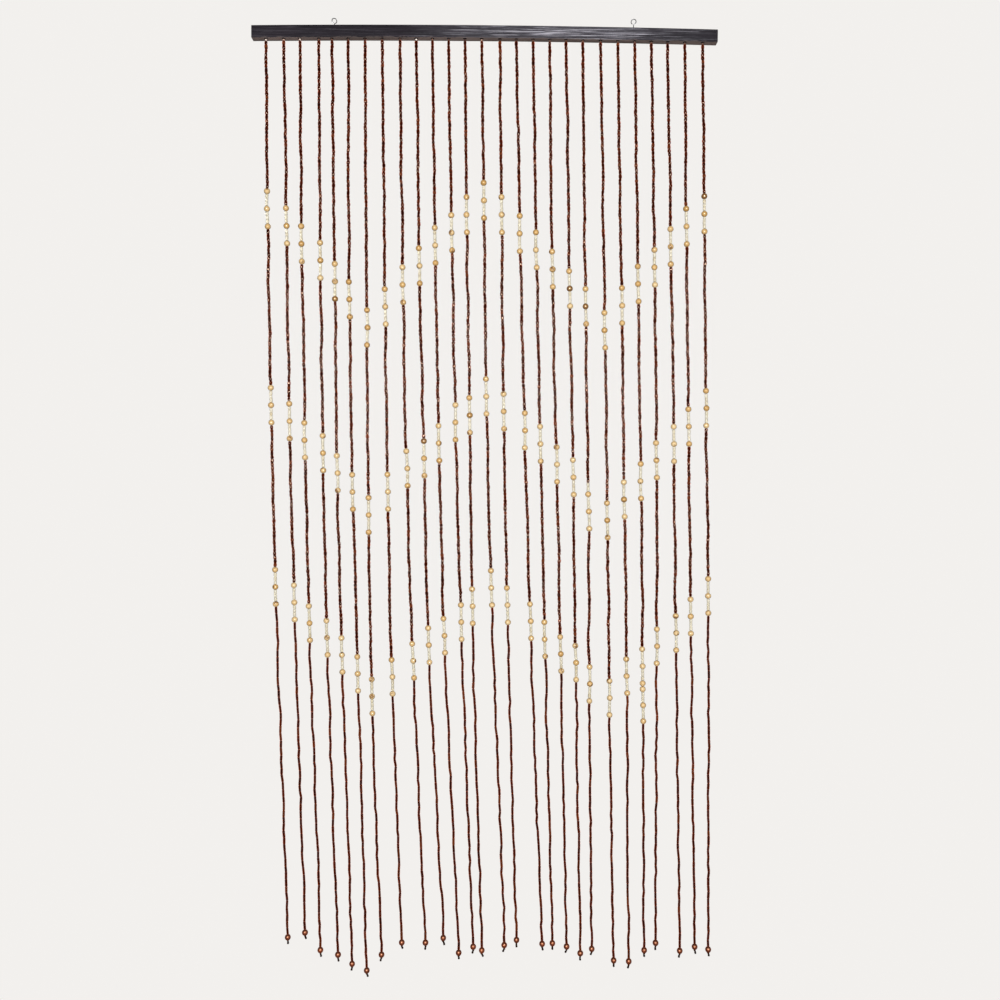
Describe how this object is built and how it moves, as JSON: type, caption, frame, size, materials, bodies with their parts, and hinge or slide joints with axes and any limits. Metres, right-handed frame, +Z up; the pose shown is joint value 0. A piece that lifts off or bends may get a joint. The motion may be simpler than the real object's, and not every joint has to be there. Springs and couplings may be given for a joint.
{
  "type": "bead curtain with its wooden rail",
  "caption": "Doorway curtain of hanging wooden bead strands with zigzag bands of larger pale beads, on a dark stained wooden rail with wire screw eyes.",
  "frame": {"origin": "the middle of the rail's top face, midway between the two screw eyes that the curtain hangs from", "axes": "+X along the rail, to the right seen from the front; +Y from the front towards the back; +Z up"},
  "size_m": [0.9203, 0.0197, 1.8947],
  "materials": {
    "rail_wood": "dark brown stain, semi-gloss, with greyish brush streaks along the grain",
    "dark_beads": "glossy dark red-brown stained wooden beads",
    "natural_beads": "clear lacquered natural wood, honey to amber",
    "pale_beads": "small cloudy cream tube beads",
    "end_beads": "glossy copper-brown lacquered wooden bead",
    "cord": "twisted dark cord with a tied knot",
    "wire": "bright zinc-plated wire"
  },
  "bodies": {
    "root": {"rail": "rail_wood", "strands": "dark_beads", "screw_eye_left": "wire", "screw_eye_right": "wire"}
  },
  "joints": []
}
